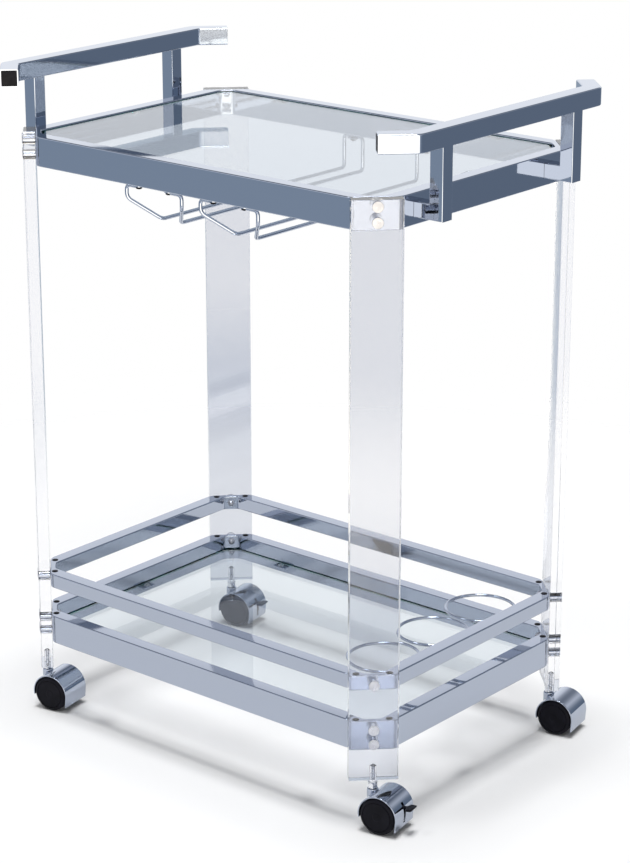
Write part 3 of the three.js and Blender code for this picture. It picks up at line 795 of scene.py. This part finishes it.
def hood(caster):
    """The curved shell with the web that carries the axle and the boss that turns on the stem."""
    node = caster.prefix + "hood"
    loops = []
    for point, out in hood_stations(caster):
        loops.append([
            point + out * depth + Vector((0, across - HOOD_HALF_WIDTH, 0))
            for depth, across in rounded_rect(HOOD_WALL, 2 * HOOD_HALF_WIDTH, 0.6 * MM, 3)
        ])
    shell = mesh_object(node + "_shell", [loft(loops)], CHROME, caster.place, smooth=35)
    web_outline = [
        (caster.trail - 26.2 * MM, 22 * MM),
        (caster.trail - 14 * MM, 13 * MM),
        (caster.trail + 22 * MM, 13 * MM),
        (caster.trail + 25.6 * MM, 20 * MM),
    ]
    reach = HOOD_RADIUS - HOOD_WALL / 2
    for angle in range(30, 151, 30):
        turn = math.radians(angle)
        web_outline.append((caster.trail + reach * math.cos(turn), caster.axle_z + reach * math.sin(turn)))
    web = loft([[Vector((x, side * WEB_HALF_WIDTH, z)) for x, z in web_outline] for side in (-1, 1)])
    boss_radius, boss_bottom, boss_top = 7.5 * MM, 26 * MM, 52 * MM
    boss = turned([
        (boss_bottom, boss_radius - 0.5 * MM),
        (boss_bottom + 0.5 * MM, boss_radius),
        (boss_top - 1.5 * MM, boss_radius),
        (boss_top - 0.4 * MM, boss_radius - 0.5 * MM),
        (boss_top, boss_radius - 1.3 * MM),
    ], "Z", 36)
    joined = [mesh_object("joined", [part], CHROME, caster.place) for part in (web, boss)]
    combine(shell, joined, "UNION", smooth=35)
    stem_bore, axle_bore, trunnion_bore = 4.4 * MM, 2.8 * MM, 1.9 * MM
    through = WEB_HALF_WIDTH + 2 * MM
    cutters = [turned([(29.6 * MM, stem_bore), (boss_top + 2 * MM, stem_bore)], "Z", 32)]
    axle_hole = [(-through, axle_bore), (through, axle_bore)]
    cutters.append(turned(axle_hole, "Y", 32, (caster.trail, 0, caster.axle_z)))
    if caster.braked:
        cutters.append(block((25 * MM, -2.5 * MM, 14 * MM), (50 * MM, 2.5 * MM, 41 * MM), 0.6 * MM, 1.5 * MM))
        trunnion_hole = [(-through, trunnion_bore), (through, trunnion_bore)]
        cutters.append(turned(trunnion_hole, "Y", 24, BRAKE_PIVOT))
    drills = [mesh_object("drill", [part], CHROME, caster.place) for part in cutters]
    combine(shell, drills, "DIFFERENCE", smooth=35)
    settle(shell, caster.body, "chrome", node)


def wheel(caster, name, sign):
    """A wheel with a rounded tread, a ring groove and a shallow dished face."""
    node = caster.prefix + "wheel_" + name
    inner, outer, radius, bore = 8.0, 26.0, 25.0, 2.8  # in millimetres, as the points below
    hub = [(inner + 3, bore), (inner, bore + 0.4)]
    back_edge = [(inner, radius - 2.4), (inner + 0.5, radius - 1.0), (inner + 1.8, radius)]
    shoulder = [
        (outer - 4.4, radius),
        (outer - 3.0, radius - 0.3),
        (outer - 1.7, radius - 1.0),
        (outer - 0.7, radius - 2.1),
        (outer - 0.2, radius - 3.4),
        (outer, radius - 4.2),
    ]
    groove = [(outer - 0.1, 20.2), (outer - 0.8, 19.9), (outer - 0.8, 19.4), (outer - 0.15, 19.1)]
    dish = [(outer - 0.1, 18.0), (outer - 0.35, 8.0)]
    button = [(outer - 0.3, 5.6), (outer - 0.05, 5.2), (outer - 0.05, 1.0)]
    outline = hub + back_edge + shoulder + groove + dish + button
    profile = [(sign * along * MM, reach * MM) for along, reach in outline]
    solid = turned(profile, "Y", 64, (caster.trail, 0, caster.axle_z))
    obj = mesh_object(node + "_turned", [solid], BLACK, caster.place, smooth=28)
    settle(obj, "wheel_" + caster.corner + "_" + name, "black_plastic", node)


def stem(caster):
    """Plain end in the hood, hexagonal nut, washer, and a threaded rod up into the leg."""
    node = caster.prefix + "stem"
    low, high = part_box(node)
    rod, nut, washer, neck = 4 * MM, 6.5 * MM, 6.4 * MM, 5 * MM  # radii
    plain_end = [(low.z, rod - 0.4 * MM), (low.z + 0.5 * MM, rod), (52.4 * MM, rod)]
    nut_end = nut - 0.6 * MM
    hexagon = [(52.45 * MM, nut_end, 6), (53 * MM, nut, 6), (59.2 * MM, nut, 6), (59.8 * MM, nut_end, 6)]
    collar = [(59.85 * MM, washer - 0.2 * MM), (61 * MM, washer), (61.05 * MM, neck), (63.9 * MM, neck)]
    top_washer = [(63.95 * MM, washer), (65.6 * MM, washer), (65.65 * MM, rod - 0.1 * MM)]
    profile = plain_end + hexagon + collar + top_washer
    pitch, root, crest = 1.25 * MM, 3.45 * MM, rod
    z = 66.2 * MM
    while z < high.z - pitch:
        profile += [(z, root), (z + 0.45 * pitch, crest), (z + 0.6 * pitch, crest)]
        z += pitch
    profile.append((high.z, 3 * MM))
    obj = mesh_object(node + "_turned", [turned(profile, "Z", 36)], ZINC, caster.place, smooth=32)
    settle(obj, "root", "steel", node)


def brake_lever(caster):
    """A paddle on a short arm with trunnions in the hood."""
    node = caster.prefix + "brake"
    arm_z = 35 * MM
    arm = [(27.0, 1.6, 3.0, 0.8), (28.0, 2.0, 3.8, 1.0), (46.0, 2.0, 3.8, 0.0), (49.0, 2.2, 3.8, 0.0)]
    flare = [(50.4, 5.5, 3.6, 0.1), (51.2, 8.3, 3.5, 0.2), (52.6, 9.0, 3.4, 0.3)]
    tip = [(57.4, 9.0, 2.9, 0.9), (59.2, 8.2, 2.3, 1.3), (59.8, 6.8, 1.2, 1.5)]
    loops = []
    for along, half, height, lift in arm + flare + tip:  # in millimetres
        outline = centred_rect(2 * half * MM, height * MM, 0.45 * height * MM, 3)
        loops.append([Vector((along * MM, y, arm_z + lift * MM + z)) for y, z in outline])
    pin = stub(6 * MM, 1.5 * MM, "Y", 20, BRAKE_PIVOT)
    hub = stub(2 * MM, 3.6 * MM, "Y", 28, BRAKE_PIVOT)
    obj = mesh_object(node + "_lever", [loft(loops)], BLACK, caster.place, smooth=35)
    extra = [mesh_object("extra", [part], BLACK, caster.place) for part in (pin, hub)]
    combine(obj, extra, "UNION", smooth=35)
    settle(obj, "brake_" + caster.corner, "black_plastic", node)


def axle(caster):
    """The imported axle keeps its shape, with a zinc finish."""
    kept = frame["nodes"][caster.prefix + "axle"]
    kept.data.materials.clear()
    kept.data.materials.append(ZINC)


# ---------------------------------------------------------------- the cart

for ring_node in ("top_frame", "gallery_rail", "tray_frame"):
    tube_ring(ring_node)
for plugged in ("gallery_rail", "tray_frame"):
    vent_plugs(plugged)
for shelf in ("top", "tray"):
    pane(shelf + "_glass")
    pane_rests(shelf, shelf + "_glass")

for corner_name, (corner_sign_x, corner_sign_y) in CORNERS.items():
    at = corner_place(corner_sign_x, corner_sign_y)
    leg(corner_name, at)
    for bolt_node, bolt_z in bolt_heights(corner_name).items():
        bolt(bolt_node, bolt_z, at)
    one = Caster(corner_name)
    hood(one)
    wheel(one, "front", -1)
    wheel(one, "rear", 1)
    stem(one)
    axle(one)
    if one.braked:
        brake_lever(one)

for side_name, side_sign in SIDES.items():
    handle(side_name, side_sign)
    stemware_rack(side_name)
    for end_name in ("front", "rear"):
        end_cap("end_cap_" + side_name + "_" + end_name)
bottle_rings()


# ---------------------------------------------------------------- floor, light and camera


def make_floor():
    """A pale studio floor that fades out, so that the background behind it is plain white."""
    radius, fade_start, fade_end = 1.8, 0.85, 1.7
    made = bpy.data.materials.new("studio_floor")
    made.use_nodes = True
    nodes, links = made.node_tree.nodes, made.node_tree.links
    nodes.clear()
    place = nodes.new("ShaderNodeTexCoord")
    length = nodes.new("ShaderNodeVectorMath")
    length.operation = "LENGTH"
    fade = nodes.new("ShaderNodeMapRange")
    fade.interpolation_type = "SMOOTHSTEP"
    fade.inputs["From Min"].default_value = fade_start
    fade.inputs["From Max"].default_value = fade_end
    clear = nodes.new("ShaderNodeBsdfTransparent")
    matt = nodes.new("ShaderNodeBsdfDiffuse")
    matt.inputs["Color"].default_value = (0.88, 0.88, 0.88, 1)
    mix = nodes.new("ShaderNodeMixShader")
    out = nodes.new("ShaderNodeOutputMaterial")
    links.new(place.outputs["Object"], length.inputs[0])
    links.new(length.outputs["Value"], fade.inputs["Value"])
    links.new(fade.outputs["Result"], mix.inputs["Fac"])
    links.new(matt.outputs["BSDF"], mix.inputs[1])
    links.new(clear.outputs["BSDF"], mix.inputs[2])
    links.new(mix.outputs["Shader"], out.inputs["Surface"])
    rim = circle((0, 0, 0), radius, 64)
    mesh_object("floor", [(rim, [tuple(range(len(rim)))])], made)


def make_world():
    """White to the eye and pale through glass. Reflections see a studio: slate low down, pale above,
    dark overhead, with a dusky patch low at the rear right and a bright window low at the front right."""
    world = bpy.data.worlds.new("studio")
    bpy.context.scene.world = world
    world.use_nodes = True
    nodes, links = world.node_tree.nodes, world.node_tree.links
    nodes.clear()
    place = nodes.new("ShaderNodeTexCoord")
    split = nodes.new("ShaderNodeSeparateXYZ")
    links.new(place.outputs["Generated"], split.inputs["Vector"])

    height = nodes.new("ShaderNodeMapRange")
    height.inputs["From Min"].default_value = -1
    height.inputs["From Max"].default_value = 1
    links.new(split.outputs["Z"], height.inputs["Value"])
    ramp = nodes.new("ShaderNodeValToRGB")
    stops = ramp.color_ramp.elements
    stops[0].position, stops[0].color = 0.0, (0.55, 0.60, 0.66, 1)
    stops[1].position, stops[1].color = 1.0, (0.9, 0.9, 0.9, 1)
    for position, color in (
        (0.30, (0.45, 0.52, 0.60)),
        (0.43, (0.40, 0.48, 0.57)),
        (0.48, (0.45, 0.52, 0.60)),
        (0.54, (1.20, 1.21, 1.23)),
        (0.63, (1.20, 1.21, 1.23)),
        (0.70, (1.05, 1.06, 1.10)),
        (0.78, (0.22, 0.25, 0.30)),
        (0.90, (0.25, 0.28, 0.33)),
    ):
        stop = stops.new(position)
        stop.color = (*color, 1)
    links.new(height.outputs["Result"], ramp.inputs["Fac"])

    def lobe(direction, start, end):
        """1 in the direction given, falling to 0 away from it."""
        dot = nodes.new("ShaderNodeVectorMath")
        dot.operation = "DOT_PRODUCT"
        dot.inputs[1].default_value = Vector(direction).normalized()
        links.new(place.outputs["Generated"], dot.inputs[0])
        span = nodes.new("ShaderNodeMapRange")
        span.interpolation_type = "SMOOTHSTEP"
        span.inputs["From Min"].default_value = start
        span.inputs["From Max"].default_value = end
        links.new(dot.outputs["Value"], span.inputs["Value"])
        return span.outputs["Result"]

    def arithmetic(operation, first, second, clamp=False):
        node = nodes.new("ShaderNodeMath")
        node.operation = operation
        node.use_clamp = clamp
        for socket, value in zip(node.inputs, (first, second)):
            if isinstance(value, float):
                socket.default_value = value
            else:
                links.new(value, socket)
        return node.outputs["Value"]

    def blend(amount, below, color):
        """The value below, turning to a colour as amount goes from 0 to 1."""
        mix = nodes.new("ShaderNodeMix")
        mix.data_type = "RGBA"
        links.new(amount, mix.inputs["Factor"])
        links.new(below, mix.inputs["A"])
        mix.inputs["B"].default_value = (*color, 1)
        return mix.outputs["Result"]

    dusk = blend(lobe((0.63, 0.77, -0.31), 0.55, 0.9), ramp.outputs["Color"], (0.22, 0.27, 0.34))

    ray = nodes.new("ShaderNodeLightPath")
    fill = nodes.new("ShaderNodeMix")
    fill.data_type = "RGBA"
    fill.inputs["A"].default_value = (0.22, 0.225, 0.235, 1)
    links.new(ray.outputs["Is Glossy Ray"], fill.inputs["Factor"])
    links.new(dusk, fill.inputs["B"])
    through = blend(ray.outputs["Is Transmission Ray"], fill.outputs["Result"], (0.74, 0.77, 0.83))
    # What is seen straight through a clear piece isn't a reflection, and shows no window.
    opaque = arithmetic("SUBTRACT", 1.0, ray.outputs["Is Transmission Ray"])
    reflected = arithmetic("ADD", opaque, ray.outputs["Glossy Depth"], clamp=True)
    shown = arithmetic("MULTIPLY", lobe((0.70, -0.62, -0.32), 0.80, 0.93), reflected)
    window = blend(shown, through, (3.4, 3.1, 2.6))
    straight = blend(ray.outputs["Is Camera Ray"], window, (1, 1, 1))
    background = nodes.new("ShaderNodeBackground")
    out = nodes.new("ShaderNodeOutputWorld")
    links.new(straight, background.inputs["Color"])
    links.new(background.outputs["Background"], out.inputs["Surface"])


def soft_sun(name, direction, spread, strength):
    """Parallel soft light that shines along a direction. spread is its angle in degrees."""
    data = bpy.data.lights.new(name, "SUN")
    data.angle = math.radians(spread)
    data.energy = strength
    obj = bpy.data.objects.new(name, data)
    bpy.context.scene.collection.objects.link(obj)
    obj.rotation_euler = Vector(direction).to_track_quat("-Z", "Y").to_euler()


def floor_pool(spot, height, cone, power):
    """A soft pool of light on the floor, which the near corner's chrome mirrors."""
    data = bpy.data.lights.new("floor_pool", "SPOT")
    data.energy = power
    data.spot_size = math.radians(cone)
    data.spot_blend = 1.0
    data.shadow_soft_size = 0.05
    obj = bpy.data.objects.new("floor_pool", data)
    bpy.context.scene.collection.objects.link(obj)
    obj.location = (*spot, height)


def make_camera():
    """Stands at the front right, about 1.5 m up, and looks down at the cart."""
    azimuth, elevation = math.radians(39.995), math.radians(18.53)
    data = bpy.data.cameras.new("camera")
    data.lens = 108.6
    data.sensor_width = 36
    obj = bpy.data.objects.new("camera", data)
    bpy.context.scene.collection.objects.link(obj)
    obj.location = (2.1748, -2.5505, 1.5419)
    obj.rotation_euler = (math.pi / 2 - elevation, 0, azimuth)
    bpy.context.scene.camera = obj


make_floor()
make_world()
soft_sun("overhead", (0, 0, -1), 17, 2.4)
soft_sun("from_front_left", (0.45, 0.45, -1), 12, 0.3)
soft_sun("from_front_right", (-0.45, 0.45, -1), 12, 0.3)
floor_pool((0.60, -0.47), 1.3, 22, 90)
make_camera()
bpy.context.scene.view_settings.view_transform = "Standard"
